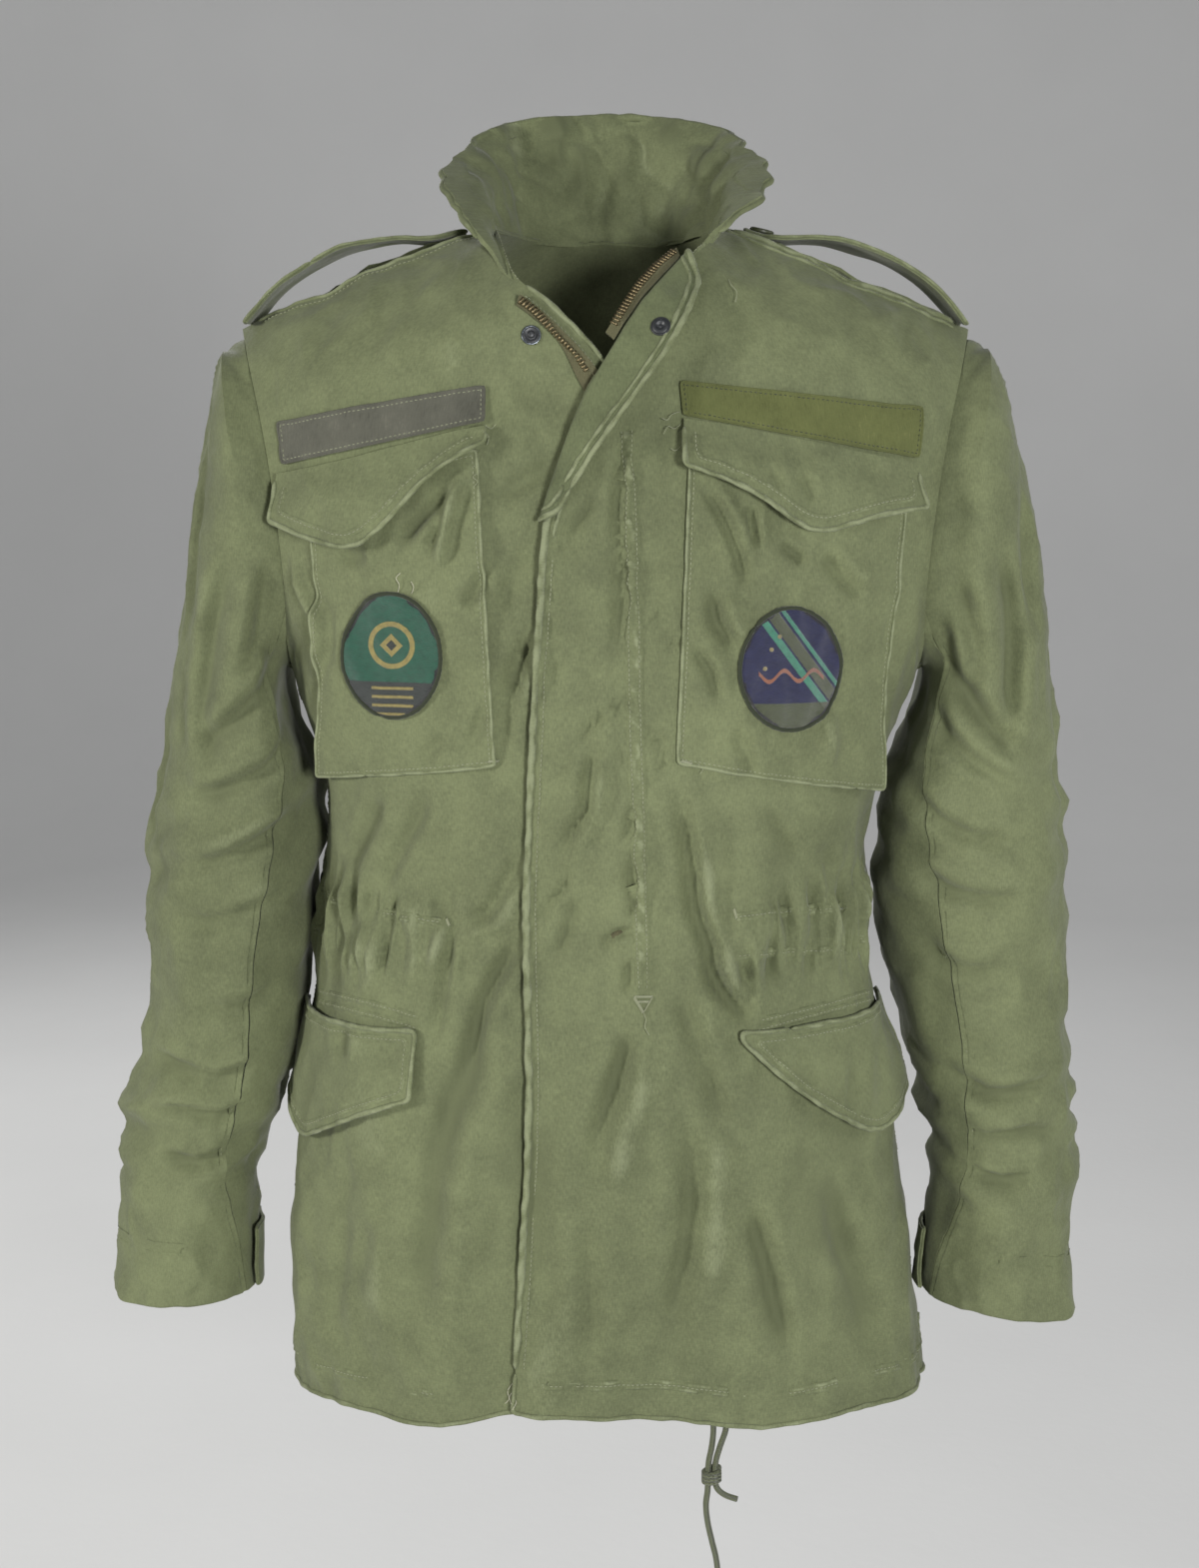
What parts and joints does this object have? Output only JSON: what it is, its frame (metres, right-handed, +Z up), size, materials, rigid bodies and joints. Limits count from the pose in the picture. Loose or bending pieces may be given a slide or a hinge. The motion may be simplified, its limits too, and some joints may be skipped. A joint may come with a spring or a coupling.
{
  "type": "field jacket",
  "caption": "Hip-length field jacket in worn form with spread stand collar, storm flap over the zip, chest and hip pockets with flaps, shoulder loops, tab cuffs and a hem drawcord.",
  "frame": {"origin": "midway between the two points where the shoulder seams meet the neck, where the garment hangs on the wearer's shoulders", "axes": "+Z up, front of the garment towards -Y, the wearer's left towards +X"},
  "size_m": [0.6715, 0.2705, 0.9836],
  "materials": {
    "olive_cloth": "matt cotton sateen, worn at the edges",
    "facing_cloth": "matt cotton sateen, inner face",
    "grey_tape": "woven tape",
    "olive_tape": "woven tape",
    "green_patch": "embroidered twill",
    "navy_patch": "embroidered twill",
    "zip_brass": "aged brass teeth on woven tape",
    "black_metal": "black enamel, worn",
    "olive_button": "matt plastic",
    "cord": "braided cord"
  },
  "bodies": {
    "root": {"back": "olive_cloth", "front_right": "olive_cloth", "front_left": "olive_cloth", "sleeve_top_right": "olive_cloth", "sleeve_under_right": "olive_cloth", "sleeve_top_left": "olive_cloth", "sleeve_under_left": "olive_cloth", "cuff_tab_right": "olive_cloth", "cuff_tab_left": "olive_cloth", "epaulet_right": "olive_cloth", "epaulet_left": "olive_cloth", "chest_pocket_right": "olive_cloth", "chest_pocket_left": "olive_cloth", "chest_flap_right": "olive_cloth", "chest_flap_left": "olive_cloth", "hip_flap_right": "olive_cloth", "hip_flap_left": "olive_cloth", "collar": "olive_cloth", "fly_facing": "facing_cloth", "tape_right": "grey_tape", "tape_left": "olive_tape", "patch_right": "green_patch", "patch_left": "navy_patch", "zip_right": "zip_brass", "zip_closed": "zip_brass", "zip_left": "zip_brass", "zip_slider": "zip_brass", "snap_right": "black_metal", "snap_left": "black_metal", "epaulet_button_right": "olive_button", "epaulet_button_left": "olive_button", "cord_long": "cord", "cord_short": "cord", "cord_knot": "cord"}
  },
  "joints": []
}
